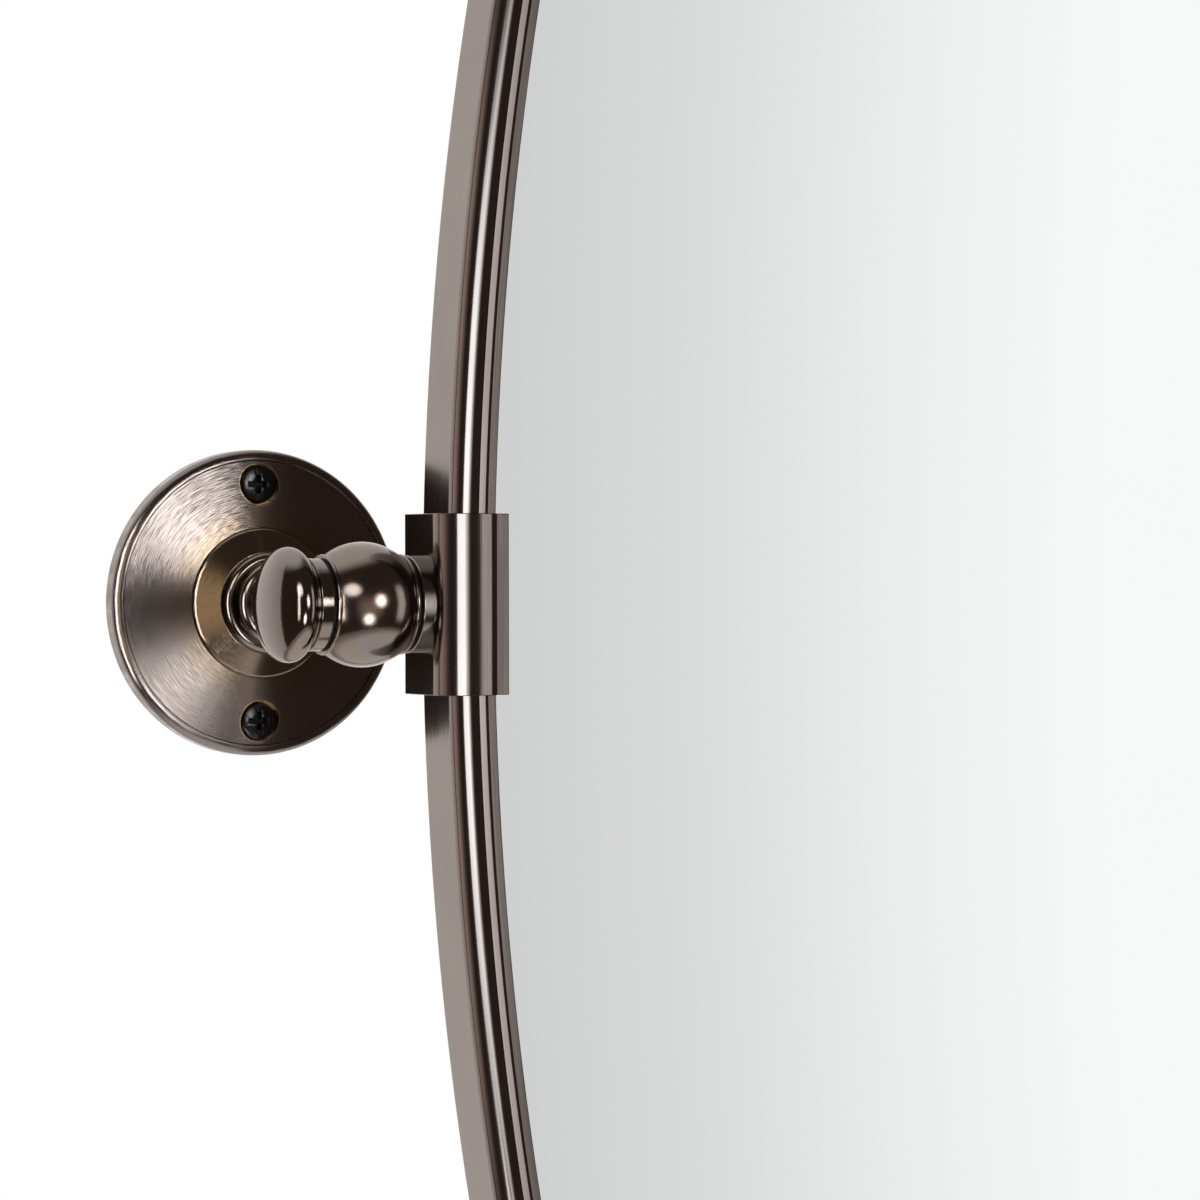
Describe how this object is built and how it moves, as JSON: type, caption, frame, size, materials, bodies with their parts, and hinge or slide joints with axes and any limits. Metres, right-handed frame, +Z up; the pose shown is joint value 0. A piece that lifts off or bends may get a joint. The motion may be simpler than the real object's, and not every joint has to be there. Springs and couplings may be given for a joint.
{
  "type": "pivot wall mirror",
  "caption": "Oval wall mirror in a reeded metal frame that tilts on a horizontal axis between two turned brackets with screw-down knobs.",
  "frame": {"origin": "on the wall plane, midway between the two wall plates and level with the pivots: the centre of the four wall screws", "axes": "+Y into the wall along the wall screws, +Z up, +X to the right as seen from in front"},
  "size_m": [0.698, 0.1039, 0.9138],
  "materials": {
    "brushed_gunmetal": "brushed in circles, gunmetal plated",
    "polished_gunmetal": "polished, gunmetal plated",
    "satin_gunmetal": "satin, gunmetal plated",
    "black_screw": "black oxide",
    "black_nylon": "matte",
    "zinc_plated": "zinc plated",
    "mirror_glass": "silvered glass",
    "hardboard": "bare hardboard"
  },
  "bodies": {
    "brackets": {"left_wall_plate": "brushed_gunmetal", "right_wall_plate": "brushed_gunmetal", "left_post": "polished_gunmetal", "right_post": "polished_gunmetal", "left_post_screw": "zinc_plated", "right_post_screw": "zinc_plated", "left_wall_screws": "black_screw", "right_wall_screws": "black_screw"},
    "mirror": {"frame": "satin_gunmetal", "glass": "mirror_glass", "backing_board": "hardboard", "retaining_clips": "zinc_plated", "clip_screws": "zinc_plated", "left_clamp": "satin_gunmetal", "right_clamp": "satin_gunmetal", "left_clamp_screws": "zinc_plated", "right_clamp_screws": "zinc_plated", "left_inner_washer": "black_nylon", "right_inner_washer": "black_nylon"},
    "left_washer": {"left_outer_washer": "black_nylon"},
    "right_washer": {"right_outer_washer": "black_nylon"},
    "left_knob": {"left_knob": "polished_gunmetal", "left_stud": "zinc_plated"},
    "right_knob": {"right_knob": "polished_gunmetal", "right_stud": "zinc_plated"}
  },
  "joints": [
    {"name": "mirror_tilt", "type": "hinge", "parent": "brackets", "child": "mirror", "pos_m": [0, -0.05625, 0], "axis": [1, 0, 0], "range_deg": [-6.5, 6.5]},
    {"name": "left_knob_travel", "type": "slide", "parent": "mirror", "child": "left_washer", "axis": [-1, 0, 0], "range_m": [0, 0.002]},
    {"name": "left_knob_turn", "type": "hinge", "parent": "left_washer", "child": "left_knob", "pos_m": [-0.31905, -0.05625, 0], "axis": [-1, 0, 0], "range_deg": [0, 720]},
    {"name": "right_knob_travel", "type": "slide", "parent": "mirror", "child": "right_washer", "axis": [1, 0, 0], "range_m": [0, 0.002]},
    {"name": "right_knob_turn", "type": "hinge", "parent": "right_washer", "child": "right_knob", "pos_m": [0.31905, -0.05625, 0], "axis": [1, 0, 0], "range_deg": [0, 720]}
  ],
  "couplings": [
    {"joint": "left_knob_turn", "follows": "left_knob_travel", "rad_per_m": 6283.2},
    {"joint": "right_knob_turn", "follows": "right_knob_travel", "rad_per_m": 6283.2}
  ]
}
